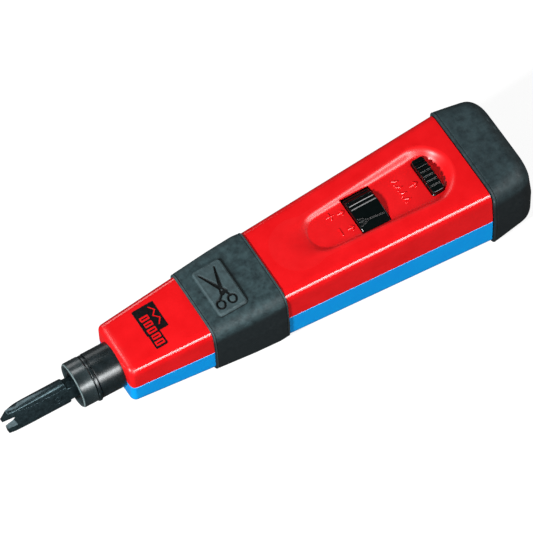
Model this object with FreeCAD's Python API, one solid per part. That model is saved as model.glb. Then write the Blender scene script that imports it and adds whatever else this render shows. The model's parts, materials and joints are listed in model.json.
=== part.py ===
import FreeCAD, Part
import math
import os

# Impact punch down tool. Lengths in millimetres, angles in degrees.
# Everything is drawn on the tool's own axis: x = 0 is the front face of the moulded shells and
# +x runs to the tail, z = 0 is the parting plane of the shells, which holds the striking axis.
# When a piece is written it is moved so that the row's origin is the middle of its footprint.

V = FreeCAD.Vector
X_DIR, Y_DIR, Z_DIR = V(1, 0, 0), V(0, 1, 0), V(0, 0, 1)
ORIGIN = V(0, 0, 0)

# ---- driving dimensions: the outside ----
BLADE_TIP_X = -42.0
COLLAR_FRONT_X = -15.8
TAIL_X = 150.0
SHELL_STATIONS = (0.0, 43.8, 132.2)      # front face, change of taper, open rear end
HALF_WIDTHS = (11.55, 14.95, 19.8)       # at the parting plane
TOP_HEIGHTS = (9.6, 12.3, 15.3)          # above the striking axis
BOTTOM_DEPTHS = (10.8, 13.3, 15.1)        # below the striking axis
SIDE_DRAFT = 2.6
TOP_FILLET, BOTTOM_FILLET = 3.4, 3.7
TOP_CROWN = 0.35
NOSE_ROUND = 1.8
WALL = 2.0
FIT = 0.05                               # radial gap between pieces that fit together

BAND_FRONT_X, BAND_REAR_X = 29.6, 56.6
BAND_PROUD = 0.9
PAD_X, PAD_HALF_Y, PAD_HEIGHT, PAD_CORNER = (34.6, 45.2), 9.2, 0.85, 1.3

CAP_FRONT_X = 132.6
CAP_PROUD = 1.0
CAP_TAIL_HALF_WIDTH = 19.7
CAP_FRONT_FILLET, CAP_TAIL_FILLET, CAP_ROUND, CAP_ROUND_STEPS = 4.4, 7.0, 5.5, 6
CAP_DEPTH = BOTTOM_DEPTHS[2] + CAP_PROUD   # the cap's underside is what the tool rests on

# ---- the dished recess on top, its selector and its button ----
DISH_FLOOR_Z, DISH_RIM_Z = 11.9, 15.9
DISH_FLOOR = {"nose": 74.0, "front": (80.0, 6.5), "rear": (117.0, 8.7), "tail": 124.6}
DISH_RIM = {"nose": 60.5, "front": (75.0, 8.7), "rear": (119.0, 11.9), "tail": 128.0}
DISH_WALL = 1.4

SELECTOR_X = (90.5, 100.9)
SELECTOR_R, SELECTOR_RIM = 13.7, 1.8
SELECTOR_WINDOW_HALF_Y = 7.7
SELECTOR_TRAVEL = 30.0
SELECTOR_RIB_ANGLES = (6.5, 13.5, 20.5, 27.5)
POINTER_ANGLE = -15.0
PRELOAD_TRAVEL = 3.0

BUTTON_X = (117.2, 121.8)
BUTTON_HALF_Y, BUTTON_TOP_Z, BUTTON_END_Z = 7.3, 14.3, 13.7
BUTTON_RIBS, BUTTON_GROOVE_R = 6, 0.45

# ---- the striking train inside ----
COLLAR_R, COLLAR_REAR_X, COLLAR_FLANGE_R = 8.0, 9.0, 8.6
COLLAR_FLANGE_X, RING_X, RING_GROOVE_GAP = (3.1, 4.9), (-10.3, -8.9), 0.1
TUBE_R, TUBE_BORE = 6.6, 5.45
TUBE_X = (-14.4, 101.2)
SPINDLE_R, STEM_R = 5.4, 2.2
SPINDLE_FRONT_X, SPINDLE_SHOULDER_X, STEM_END_X = -15.2, 12.0, 31.0
STROKE = 8.0
HAMMER_R, HAMMER_X, HAMMER_BOSS_X = 5.35, (26.0, 52.0), 57.0
TRIPPER_X, TRIPPER_HALF_Y, TRIPPER_TRAVEL = (31.2, 35.2), 2.6, 1.5
TRIPPER_Z = (-4.6, 3.0)
TRIPPER_SPRING_FLOOR_Z, HAMMER_POCKET_ROOF_Z = 1.4, 4.7
KEYWAY_ROOF_Z, RAMP_TOP_Z, RAMP_HALF_Y = -2.9, -3.1, 1.5
RAMP_X = (43.4, 50.4)
STOP_PIN_X, STOP_PIN_R = 10.0, 1.0
PRELOAD_SEAT_X, PRELOAD_PIN_X, PRELOAD_PIN_R = (88.0, 98.0), 96.0, 1.0
HUB_R, HUB_X = 8.6, (88.8, 101.1)
PLUG_X, PLUG_FLANGE_R = (99.0, 103.2), 8.3

# ---- the blade and its lock ----
BLADE_R, SHANK_R, BLADE_FLAT = 4.2, 3.6, 2.9
BLADE_ROOT_X, SHANK_END_X = -18.3, -3.9
BLADE_TILT = 68.0                        # the milled flat faces up and to the -Y side
SHORT_PRONG_X, FORK_END_X, FORK_WIDTH = -41.0, -38.1, 3.4
KEY_BUSH_X, KEY_BUSH_R = (-14.9, -2.0), 4.5
CLIP_X, CLIP_WIDTH = -7.0, 1.2

# ---- the blade drawer in the tail ----
TRAY_X, TRAY_HALF_Y, TRAY_Z = (106.0, 147.0), 14.7, (-11.3, 0.8)
TRAY_WALL, WELL_PITCH, WELL_WIDTH, WELL_LENGTH = 1.0, 9.6, 8.8, 38.9
LEAF_Y, LEAF_WIDTH, LEAF_Z, LEAF_THICK = 4.8, 2.0, 2.4, 0.5
HOOK_X, HOOK_TOP_Z = (122.8, 124.2), 5.6
CATCH_RIB_X, CATCH_RIB_Z = (124.5, 126.0), 4.5

SCREW_PLACES = ((50.0, 10.5), (103.0, 13.2))   # x and |y| of the shell screws
SCREW_HEAD_R, SCREW_HEAD_H, SCREW_R = 2.2, 1.8, 1.2
BOSS_R = 2.6
CRADLE_X, CRADLE_THICK = (22.0, 66.0, 86.9), 1.6   # ribs that hold the barrel
BULKHEAD_X = (103.4, 105.0)                        # wall behind the barrel plug

FRAME_SHIFT = V(-(BLADE_TIP_X + TAIL_X) / 2, 0, CAP_DEPTH)


# ---- helpers ----
def box(x, y, z):
    """Box between the pairs x, y and z."""
    return Part.makeBox(x[1] - x[0], y[1] - y[0], z[1] - z[0], V(x[0], y[0], z[0]))


def rod(r, x0, x1):
    """Cylinder about the striking axis."""
    return Part.makeCylinder(r, x1 - x0, V(x0, 0, 0), X_DIR)


def pipe(r_out, r_in, x0, x1):
    return rod(r_out, x0, x1).cut(rod(r_in, x0 - 1, x1 + 1))


def upright(r, x, y, z0, z1):
    """Cylinder along +Z."""
    return Part.makeCylinder(r, z1 - z0, V(x, y, z0), Z_DIR)


def prism(points, direction):
    """Straight prism on a closed polygon."""
    return Part.Face(Part.makePolygon(points + [points[0]])).extrude(direction)


def turned(shape, angle):
    """Copy turned about the striking axis."""
    copy = shape.copy()
    copy.rotate(ORIGIN, X_DIR, angle)
    return copy


def moved(shape, x=0.0, y=0.0, z=0.0):
    copy = shape.copy()
    copy.translate(V(x, y, z))
    return copy


def at_station(values, x):
    """Value at station x of a size that changes evenly between the shell's stations."""
    s0, s1, s2 = SHELL_STATIONS
    if x < s1:
        return values[0] + (values[1] - values[0]) * (x - s0) / (s1 - s0)
    return values[1] + (values[2] - values[1]) * (x - s1) / (s2 - s1)


def half_section(x, half_width, height, side, fillet, crown=TOP_CROWN):
    """Closed wire of half a cross section at x. side is +1 above the parting plane, -1 below."""
    lean = math.tan(math.radians(SIDE_DRAFT))
    corner = V(x, half_width - height * lean, side * (height - crown))
    foot = V(x, half_width, 0)
    down = (foot - corner).normalize()
    inward = V(0, -1, side * 2 * crown / half_width).normalize()
    half_angle = down.getAngle(inward) / 2
    reach = fillet / math.tan(half_angle)
    to_centre = (down + inward).normalize()
    centre = corner + to_centre * (fillet / math.sin(half_angle))
    start, end = corner + down * reach, corner + inward * reach
    middle = centre - to_centre * fillet

    def mirrored(p):
        return V(p.x, -p.y, p.z)

    if crown:
        across = Part.Arc(end, V(x, 0, side * height), mirrored(end)).toShape()
    else:
        across = Part.makeLine(end, mirrored(end))
    edges = [Part.makeLine(foot, start),
             Part.Arc(start, middle, end).toShape(),
             across,
             Part.Arc(mirrored(end), mirrored(middle), mirrored(start)).toShape(),
             Part.makeLine(mirrored(start), mirrored(foot)),
             Part.makeLine(mirrored(foot), foot)]
    return Part.Wire(edges)


def shell_half(side, offset, x0, x1, fillet=None):
    """Solid of one half of the body's outside, moved outwards by offset, between x0 and x1."""
    heights = TOP_HEIGHTS if side > 0 else BOTTOM_DEPTHS
    base_fillet = TOP_FILLET if side > 0 else BOTTOM_FILLET
    fillet = fillet or max(base_fillet + offset, 1.0)
    stations = [x0] + [s for s in SHELL_STATIONS if x0 < s < x1] + [x1]
    wires = [half_section(x, at_station(HALF_WIDTHS, x) + offset, at_station(heights, x) + offset,
                          side, fillet) for x in stations]
    return Part.makeLoft(wires, True, True)


def whole_body(offset, x0, x1, fillet=None):
    """Both halves of the body's outside as one solid."""
    return shell_half(1, offset, x0, x1, fillet).fuse(shell_half(-1, offset, x0, x1, fillet))


def dish(plan_growth=0.0, drop=0.0):
    """The recess: a straight-sided funnel between its floor outline and its rim outline."""
    def outline(spec, z):
        (xf, yf), (xr, yr) = spec["front"], spec["rear"]
        yf, yr = yf + plan_growth, yr + plan_growth
        nose, tail = V(spec["nose"] - plan_growth, 0, z), V(spec["tail"] + plan_growth, 0, z)
        return Part.Wire([Part.Arc(V(xf, yf, z), nose, V(xf, -yf, z)).toShape(),
                          Part.makeLine(V(xf, -yf, z), V(xr, -yr, z)),
                          Part.Arc(V(xr, -yr, z), tail, V(xr, yr, z)).toShape(),
                          Part.makeLine(V(xr, yr, z), V(xf, yf, z))])
    return Part.makeLoft([outline(DISH_FLOOR, DISH_FLOOR_Z - drop), outline(DISH_RIM, DISH_RIM_Z)],
                         True, True)


def coil(mean_r, wire_r, length, turns, start, direction):
    """Spring from start along direction, as a chain of tilted half rings that meet end to end."""
    rise = (length - 2 * wire_r) / (2 * turns)
    halves = []
    for k in range(2 * turns):
        side = 1 if k % 2 == 0 else -1
        begin = V(side * mean_r, 0, wire_r + k * rise)
        centre = V(0, 0, begin.z + rise / 2)
        axis = (begin - centre).cross(V(0, side, 0))
        wire = Part.Face(Part.Wire(Part.makeCircle(wire_r, begin, V(0, side, 0))))
        halves.append(wire.revolve(centre, axis, 180))
    spring = halves[0].multiFuse(halves[1:])
    spring.Placement = FreeCAD.Placement(start, FreeCAD.Rotation(Z_DIR, direction))
    return spring


def ring_sector(r_out, r_in, x0, x1, from_angle, to_angle):
    """Part of a pipe about the striking axis. Angles are from +Z towards +Y."""
    whole = pipe(r_out, r_in, x0, x1)
    reach = 3 * r_out
    steps = 6
    angles = [from_angle + (to_angle - from_angle) * i / steps for i in range(steps + 1)]
    fan = [V(x0 - 1, reach * math.sin(math.radians(a)), reach * math.cos(math.radians(a)))
           for a in angles]
    return whole.common(prism([V(x0 - 1, 0, 0)] + fan, V(x1 - x0 + 2, 0, 0)))


# ---- the moulded shells ----
def cradle(x0, x1, side, bore):
    """Rib across the shell's cavity with a half-round seat for the barrel."""
    rib = shell_half(side, -WALL + FIT, x0, x1)
    return rib.cut(rod(bore, x0 - 1, x1 + 1))


def bulkhead(side):
    return shell_half(side, -WALL + FIT, *BULKHEAD_X)


def screw_boss(x, y, side):
    depth = at_station(TOP_HEIGHTS if side > 0 else BOTTOM_DEPTHS, x)
    z = (0, depth - WALL / 2) if side > 0 else (-depth + WALL / 2, 0)
    return upright(BOSS_R, x, y, *z)


def shell(side):
    """Hollow half shell with a solid nose block, seats for the barrel and screw bosses."""
    x0, x2 = SHELL_STATIONS[0], SHELL_STATIONS[2]
    outer = shell_half(side, 0, x0, x2)
    front_edges = [e for e in outer.Edges if e.BoundBox.XMax < x0 + 0.01
                   and abs(e.CenterOfMass.z) > 0.1]
    outer = outer.makeFillet(NOSE_ROUND, front_edges)
    cavity = shell_half(side, -WALL, COLLAR_REAR_X + 1, x2 + 1)
    inside = [cradle(x, x + CRADLE_THICK, side, TUBE_R + FIT) for x in CRADLE_X]
    inside.append(bulkhead(side))
    inside += [screw_boss(x, y * s, side) for x, y in SCREW_PLACES for s in (1, -1)]
    body = outer.cut(cavity).fuse(Part.makeCompound(inside).common(outer))
    body = body.cut(rod(COLLAR_R + FIT, -1, COLLAR_REAR_X + 2))
    x_front, x_rear = COLLAR_FLANGE_X
    body = body.cut(rod(COLLAR_FLANGE_R + FIT, x_front - 0.1, x_rear + 0.1))
    body = body.cut(rod(TUBE_R + FIT, 0, TUBE_X[1]))
    return body.cut(rod(PLUG_FLANGE_R + FIT, TUBE_X[1], BULKHEAD_X[0]))


def upper_shell():
    body = shell(1)
    tub = dish(DISH_WALL, DISH_WALL).common(shell_half(1, -WALL / 2, 56.0, SHELL_STATIONS[2] - 1))
    hollow = dish()
    selector_room = rod(SELECTOR_R + 0.3, SELECTOR_X[0] - 0.3, SELECTOR_X[1] + 0.3)
    window = box((SELECTOR_X[0] - 0.3, SELECTOR_X[1] + 0.3),
                 (-SELECTOR_WINDOW_HALF_Y, SELECTOR_WINDOW_HALF_Y), (0, DISH_RIM_Z))
    button_window = button_block(0.2, 0, DISH_RIM_Z)
    catch_rib = box(CATCH_RIB_X, (-7, 7), (CATCH_RIB_Z, 13.0))
    pilots = [upright(SCREW_R + FIT, x, y * s, -1, 9.0) for x, y in SCREW_PLACES for s in (1, -1)]
    body = body.fuse([tub, catch_rib])
    for tool in [hollow, selector_room, window, button_window] + pilots:
        body = body.cut(tool)
    return body


def screw_seat_z(x):
    """Height of the screw head's seat in the lower shell."""
    return -at_station(BOTTOM_DEPTHS, x) + 3.4


def lower_shell():
    body = shell(-1)
    cuts = [upright(SCREW_R + 0.3, x, y * s, -20, 1) for x, y in SCREW_PLACES for s in (1, -1)]
    cuts += [upright(SCREW_HEAD_R + 0.3, x, y * s, -20, screw_seat_z(x))
             for x, y in SCREW_PLACES for s in (1, -1)]
    cuts.append(upright(STOP_PIN_R + FIT, STOP_PIN_X, 0, -9, 0))
    cuts.append(box((RAMP_X[0] + 1, RAMP_X[1]), (-RAMP_HALF_Y, RAMP_HALF_Y), (-7, 0)))
    return body.cut(Part.makeCompound(cuts))


def shell_screws():
    """Pan-head screws that go up through the lower shell into the upper one."""
    screws = []
    for x, y in SCREW_PLACES:
        for side in (1, -1):
            seat = screw_seat_z(x)
            head = upright(SCREW_HEAD_R, x, y * side, seat - SCREW_HEAD_H, seat)
            head = head.makeFillet(0.5, [e for e in head.Edges if e.BoundBox.ZMax < seat - 1])
            slot = box((x - 2.5, x + 2.5), (y * side - 0.35, y * side + 0.35),
                       (seat - SCREW_HEAD_H - 1, seat - SCREW_HEAD_H + 0.8))
            screws.append(head.fuse(upright(SCREW_R, x, y * side, seat, 8.6)).cut(slot))
    return Part.makeCompound(screws)


# ---- soft and decorative pieces on the outside ----
def rounded_plate(x, half_y, corner, z):
    """Upright prism with a rounded rectangular plan."""
    plate = box(x, (-half_y, half_y), z)
    return plate.makeFillet(corner, [e for e in plate.Edges if e.BoundBox.ZLength > 1])


def grip_band():
    """Rubber sleeve stretched round the waist, with a raised pad on top."""
    outer = whole_body(BAND_PROUD, BAND_FRONT_X, BAND_REAR_X, 4.6)
    outer = outer.removeSplitter()
    pad = rounded_plate(PAD_X, PAD_HALF_Y, PAD_CORNER, (8, 20))
    pad = pad.common(shell_half(1, BAND_PROUD + PAD_HEIGHT, BAND_FRONT_X, BAND_REAR_X))
    return outer.fuse(pad).cut(whole_body(FIT, BAND_FRONT_X - 1, BAND_REAR_X + 1))


def badge():
    """Thin label on the nose."""
    plate = rounded_plate((11.2, 19.6), 8.2, 1.0, (5, 16))
    slab = shell_half(1, 0.25, 8, 24).cut(shell_half(1, 0.02, 7, 25))
    return plate.common(slab)


def end_cap():
    """Rubber cap on the drawer's rear end, rounded towards the tail; its underside is level."""
    def half(side, height, crown):
        wires = [half_section(CAP_FRONT_X, HALF_WIDTHS[2] + CAP_PROUD, height, side,
                              CAP_FRONT_FILLET, crown)]
        for i in range(CAP_ROUND_STEPS + 1):
            turn = math.radians(90 * i / CAP_ROUND_STEPS)
            inset = CAP_ROUND * (1 - math.cos(turn))
            x = TAIL_X - CAP_ROUND * (1 - math.sin(turn))
            wires.append(half_section(x, CAP_TAIL_HALF_WIDTH - inset, height - inset, side,
                                      CAP_TAIL_FILLET - inset / 2, crown))
        return Part.makeLoft(wires, True, True)
    trim = 0.05
    body = half(1, TOP_HEIGHTS[2] + CAP_PROUD, TOP_CROWN).fuse(half(-1, CAP_DEPTH + trim, 0))
    body = body.cut(box((CAP_FRONT_X - 1, TAIL_X + 1), (-30, 30), (-CAP_DEPTH - 1, -CAP_DEPTH)))
    socket = box((CAP_FRONT_X - 1, TRAY_X[1] + FIT), (-TRAY_HALF_Y - FIT, TRAY_HALF_Y + FIT),
                 (TRAY_Z[0] - FIT, TRAY_Z[1] + 2))
    return body.cut(socket)


# ---- selector and button ----
def selector_wheel():
    """Thumb rim that shows in the dish, on a web and a hub with two helical slots for the pin."""
    rim = ring_sector(SELECTOR_R, SELECTOR_R - SELECTOR_RIM, *SELECTOR_X, -68, 38)
    web = ring_sector(SELECTOR_R - 1, HUB_R - 0.4, 94.6, 96.8, -60, 30)
    hub = pipe(HUB_R, TUBE_R + FIT + 0.03, *HUB_X)
    ribs = [turned(box(SELECTOR_X, (-0.35, 0.35), (SELECTOR_R - 0.5, SELECTOR_R + 0.25)), -a)
            for a in SELECTOR_RIB_ANGLES]
    arrow = prism([V(91.5, 0, 12.5), V(94.2, 1.6, 12.5), V(94.2, 0.5, 12.5), V(99.6, 0.5, 12.5),
                   V(99.6, -0.5, 12.5), V(94.2, -0.5, 12.5), V(94.2, -1.6, 12.5)], V(0, 0, 1.4))
    wheel = rim.fuse([web, hub, turned(arrow, -POINTER_ANGLE)] + ribs)
    steps = 12
    slots = []
    for i in range(steps + 1):
        pin = Part.makeCylinder(PRELOAD_PIN_R + 0.15, 24,
                                V(PRELOAD_PIN_X - PRELOAD_TRAVEL * i / steps, -12, 0), Y_DIR)
        slots.append(turned(pin, SELECTOR_TRAVEL * i / steps))
    return wheel.cut(slots)


def preload_seat():
    """Rear seat of the hammer spring."""
    seat = rod(SPINDLE_R, *PRELOAD_SEAT_X).cut(rod(2.0, PRELOAD_SEAT_X[0] - 1, 92.0))
    return seat.cut(Part.makeCylinder(PRELOAD_PIN_R, 20, V(PRELOAD_PIN_X, -10, 0), Y_DIR))


def preload_pin():
    """Cross pin that carries the seat along when the selector turns."""
    half_length = HUB_R - 0.2
    return Part.makeCylinder(PRELOAD_PIN_R, 2 * half_length, V(PRELOAD_PIN_X, -half_length, 0), Y_DIR)


def button_block(gap, z0, z1):
    block = box((BUTTON_X[0] - gap, BUTTON_X[1] + gap), (-BUTTON_HALF_Y - gap, BUTTON_HALF_Y + gap),
                (z0, z1))
    return block.makeFillet(0.8, [e for e in block.Edges if e.BoundBox.ZLength > 1])


def release_button():
    """Ribbed button with a hidden flange and two legs that reach down to the catch leaf."""
    x0, x1 = BUTTON_X
    left, right = V(x0, BUTTON_HALF_Y, BUTTON_END_Z), V(x0, -BUTTON_HALF_Y, BUTTON_END_Z)
    sides = [right, V(x0, -BUTTON_HALF_Y, 0), V(x0, BUTTON_HALF_Y, 0), left]
    top = Part.Arc(left, V(x0, 0, BUTTON_TOP_Z), right).toShape()
    arch = Part.Face(Part.Wire([top, Part.makePolygon(sides)])).extrude(V(x1 - x0, 0, 0))
    body = button_block(0, 8.4, 16).common(arch)
    pitch = 2 * BUTTON_HALF_Y / (BUTTON_RIBS + 1)
    for i in range(BUTTON_RIBS + 1):
        start = V(x0 - 2, (i - BUTTON_RIBS / 2) * pitch, BUTTON_TOP_Z + 0.15)
        body = body.cut(Part.makeCylinder(BUTTON_GROOVE_R, 10, start, X_DIR))
    flange = box((x0 - 1.1, x1 + 1.1), (-8.3, 8.3), (8.9, 10.1))
    legs = [box((118.6, 120.6), (y - 0.9, y + 0.9), (LEAF_Z + LEAF_THICK + 0.1, 9.0))
            for y in (-LEAF_Y, LEAF_Y)]
    return body.fuse([flange] + legs)


# ---- barrel and striking train ----
def nose_collar():
    """Turned sleeve with a chamfered mouth, a ring groove and a flange held in the shells."""
    body = rod(COLLAR_R, COLLAR_FRONT_X, COLLAR_REAR_X)
    body = body.makeChamfer(0.5, [e for e in body.Edges if e.BoundBox.XMax < COLLAR_FRONT_X + 0.01])
    body = body.fuse(rod(COLLAR_FLANGE_R, *COLLAR_FLANGE_X))
    body = body.cut(rod(TUBE_R + FIT, COLLAR_FRONT_X - 1, COLLAR_REAR_X + 1))
    x0, x1 = RING_X
    return body.cut(pipe(COLLAR_R + 1, COLLAR_R - 0.7, x0 - RING_GROOVE_GAP, x1 + RING_GROOVE_GAP))


def collar_retaining_ring():
    """Split ring in the collar's groove."""
    outer_r = COLLAR_R + 0.5
    ring = pipe(outer_r, COLLAR_R - 0.65, *RING_X)
    ring = ring.makeFillet(0.3, [e for e in ring.Edges if abs(e.BoundBox.YMax - outer_r) < 0.01
                                 and e.BoundBox.XLength < 0.01])
    return ring.cut(box((-11, -8), (-0.6, 0.6), (-10, 0)))


def barrel_tube():
    """Steel tube that guides the spindle and the hammer."""
    tube = pipe(TUBE_R, TUBE_BORE, *TUBE_X)
    pin_hole = upright(STOP_PIN_R + 0.01, STOP_PIN_X, 0, -8, 0)
    ramp_hole = box((RAMP_X[0] + 1, RAMP_X[1] - 0.4), (-RAMP_HALF_Y, RAMP_HALF_Y), (-8, -3))
    end = PRELOAD_PIN_R + 0.1
    pin_slot = box((PRELOAD_PIN_X - PRELOAD_TRAVEL - end, PRELOAD_PIN_X + end), (-9, 9), (-end, end))
    return tube.cut([pin_hole, ramp_hole, pin_slot])


def barrel_plug():
    """Turned plug that closes the barrel's rear end."""
    return rod(SPINDLE_R, PLUG_X[0], TUBE_X[1]).fuse(rod(PLUG_FLANGE_R, TUBE_X[1], PLUG_X[1]))


def stop_pin():
    """Radial pin in the barrel that ends the spindle's stroke both ways."""
    return upright(STOP_PIN_R, STOP_PIN_X, 0, -8.4, -4.0)


def trip_ramp():
    """Wedge in the barrel's floor that lifts the tripper at the end of the stroke."""
    x0, x1 = RAMP_X
    outline = [(x0, -5.2), (x0, -4.6), (x0 + 3, RAMP_TOP_Z), (x1, RAMP_TOP_Z), (x1, -5.2)]
    wedge = prism([V(x, -RAMP_HALF_Y, z) for x, z in outline], V(0, 2 * RAMP_HALF_Y, 0))
    foot = box((x0 + 1.05, x1 - 0.45), (-RAMP_HALF_Y + FIT, RAMP_HALF_Y - FIT), (-6.55, -5.1))
    return wedge.fuse(foot)


def spindle():
    """Blade holder with a rear stem; a slot in its underside runs over the stop pin."""
    body = rod(SPINDLE_R, SPINDLE_FRONT_X, SPINDLE_SHOULDER_X)
    body = body.makeChamfer(0.3, [e for e in body.Edges if e.BoundBox.XMax < SPINDLE_FRONT_X + 0.01])
    body = body.cut(rod(KEY_BUSH_R + FIT, SPINDLE_FRONT_X - 1, KEY_BUSH_X[1] + 0.1))
    slot = box((STOP_PIN_X - STROKE - STOP_PIN_R - 0.1, STOP_PIN_X + STOP_PIN_R + 0.1),
               (-STOP_PIN_R - 0.1, STOP_PIN_R + 0.1), (-6, -3.9))
    return body.cut(slot).fuse(rod(STEM_R, SPINDLE_SHOULDER_X, STEM_END_X))


def hammer():
    """Striker with a bore for the stem, a cross slot for the tripper and a keyway for the ramp."""
    x0, x1 = HAMMER_X
    body = rod(HAMMER_R, x0, x1)
    body = body.makeChamfer(0.4, [e for e in body.Edges if e.BoundBox.XLength < 0.01])
    body = body.fuse(rod(2.6, x1, HAMMER_BOSS_X))
    bore = rod(STEM_R + 0.15, x0 - 1, TRIPPER_X[1] + STROKE + 1)
    slot = box((TRIPPER_X[0] - FIT, TRIPPER_X[1] + FIT), (-TRIPPER_HALF_Y - FIT, TRIPPER_HALF_Y + FIT),
               (-6, HAMMER_POCKET_ROOF_Z))
    keyway = box((TRIPPER_X[0], x1 + 1), (-RAMP_HALF_Y - 0.2, RAMP_HALF_Y + 0.2), (-6, KEYWAY_ROOF_Z))
    return body.cut([bore, slot, keyway])


def tripper():
    """Sliding sear: its hole lines up with the stem only when the ramp has lifted it."""
    x0, x1 = TRIPPER_X
    z0, z1 = TRIPPER_Z
    y = TRIPPER_HALF_Y
    outline = [V(x0, -y, z0), V(x0, -y, z1), V(x1, -y, z1), V(x1, -y, z0 + 1.2), V(x1 - 1.2, -y, z0)]
    block = prism(outline, V(0, 2 * y, 0))
    hole = moved(rod(STEM_R + 0.15, x0 - 1, x1 + 1), z=-TRIPPER_TRAVEL)
    pocket = upright(1.45, (x0 + x1) / 2, 0, TRIPPER_SPRING_FLOOR_Z, z1 + 1)
    return block.cut([hole, pocket])


def tripper_spring():
    x = sum(TRIPPER_X) / 2
    return coil(1.1, 0.22, HAMMER_POCKET_ROOF_Z - TRIPPER_SPRING_FLOOR_Z, 5,
                V(x, 0, TRIPPER_SPRING_FLOOR_Z), Z_DIR)


def hammer_spring():
    return coil(4.1, 0.75, PRELOAD_SEAT_X[0] - HAMMER_X[1], 11, V(HAMMER_X[1], 0, 0), X_DIR)


def return_spring():
    return coil(3.7, 0.4, HAMMER_X[0] - SPINDLE_SHOULDER_X, 7, V(SPINDLE_SHOULDER_X, 0, 0), X_DIR)


def selector_detent():
    """Bent leaf in the lower shell that clicks under the selector's hub."""
    x, w, t = 98.2, 1.2, 0.4
    floor = -at_station(BOTTOM_DEPTHS, x) + WALL + 0.3
    top = -HUB_R - 0.05
    path = [(-7.5, floor), (-4.0, floor), (-1.2, top - t), (1.2, top - t), (4.0, floor), (7.5, floor)]
    under = [V(x - w, y, z) for y, z in path]
    over = [V(x - w, y, z + t) for y, z in reversed(path)]
    return prism(under + over, V(2 * w, 0, 0))


# ---- blade and its lock ----
def blade_blank():
    """Blade with its flat facing +Z: forked tip, round back, keyed shank."""
    tip, root, end = BLADE_TIP_X, BLADE_ROOT_X, SHANK_END_X
    body = rod(BLADE_R, tip, root)
    body = body.makeChamfer(0.4, [e for e in body.Edges if e.BoundBox.XMin > root - 0.01])
    body = body.fuse(rod(SHANK_R, root, end))
    body = body.cut(box((tip - 1, end + 1), (-6, 6), (BLADE_FLAT, 6)))
    far = -BLADE_R - 2
    relief = [(-26.0, -BLADE_R), (tip, -0.2), (tip - 4, -0.2), (tip - 4, far), (-26.0, far)]
    back_relief = prism([V(x, -6, z) for x, z in relief], V(0, 12, 0))
    relief = [(-31.4, BLADE_FLAT), (tip, 1.4), (tip - 4, 1.4), (tip - 4, 6), (-31.4, 6)]
    front_relief = prism([V(x, -6, z) for x, z in relief], V(0, 12, 0))
    waist, waist_x = 3.6, -30.0
    side_reliefs = [prism([V(waist_x, s * BLADE_R, -6), V(tip, s * waist, -6), V(tip, s * 6, -6),
                           V(waist_x, s * 6, -6)], V(0, 0, 12)) for s in (1, -1)]
    half = FORK_WIDTH / 2
    fork = box((tip - 1, FORK_END_X), (-half, half), (-6, 6)).fuse(upright(half, FORK_END_X, 0, -6, 6))
    short_side = box((tip - 1, SHORT_PRONG_X), (-6, 0), (-6, 6))
    bevel_plan = [(tip - 1, 1.5), (tip, 2.1), (tip + 2.5, 3.65), (tip + 2.5, 5), (tip - 1, 5)]
    bevel = prism([V(x, y, -6) for x, y in bevel_plan], V(0, 0, 12))
    groove = pipe(SHANK_R + 1, SHANK_R - 0.4, CLIP_X - CLIP_WIDTH / 2, CLIP_X + CLIP_WIDTH / 2)
    return body.cut([back_relief, front_relief, fork, short_side, bevel, groove] + side_reliefs)


def blade():
    return turned(blade_blank(), BLADE_TILT)


def blade_key_bush():
    """Bush that turns with the blade: its bore has the same flat as the shank."""
    x0, x1 = KEY_BUSH_X
    bore = rod(SHANK_R + FIT, x0 - 1, SHANK_END_X + 0.1)
    bore = bore.cut(box((x0 - 2, x1), (-6, 6), (BLADE_FLAT + FIT, 6)))
    groove = pipe(KEY_BUSH_R + 1, KEY_BUSH_R - 0.45, CLIP_X - 0.65, CLIP_X + 0.65)
    nub_hole = Part.makeCylinder(0.55, 6, V(CLIP_X, 0, 0), V(0, 0, -1))
    return turned(rod(KEY_BUSH_R, x0, x1).cut([bore, groove, nub_hole]), BLADE_TILT)


def blade_clip():
    """Spring clip round the bush whose nub drops into the shank's groove."""
    ring = pipe(KEY_BUSH_R - 0.03, KEY_BUSH_R - 0.4, CLIP_X - 0.6, CLIP_X + 0.6)
    ring = ring.cut(box((CLIP_X - 1, CLIP_X + 1), (-1.5, 1.5), (0, 6)))
    nub = Part.makeCylinder(0.5, 0.9, V(CLIP_X, 0, -SHANK_R + 0.3), V(0, 0, -1))
    return turned(ring.fuse(nub), BLADE_TILT)


# ---- the drawer ----
def well_start():
    return TRAY_X[0] + TRAY_WALL


def drawer_tray():
    """Tray with three blade wells side by side."""
    body = box(TRAY_X, (-TRAY_HALF_Y, TRAY_HALF_Y), TRAY_Z)
    body = body.makeFillet(0.9, [e for e in body.Edges if e.BoundBox.XLength > 5
                                 and e.BoundBox.ZMax < 0])
    x0 = well_start()
    half = WELL_WIDTH / 2
    wells = [box((x0, x0 + WELL_LENGTH), (y - half, y + half), (TRAY_Z[0] + TRAY_WALL, 2))
             for y in (-WELL_PITCH, 0, WELL_PITCH)]
    return body.cut(wells)


def spare_blade(side):
    shift = well_start() + 0.4 - BLADE_TIP_X
    lift = TRAY_Z[0] + TRAY_WALL + 0.1 + BLADE_R
    return moved(blade_blank(), shift, side * WELL_PITCH, lift)


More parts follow.
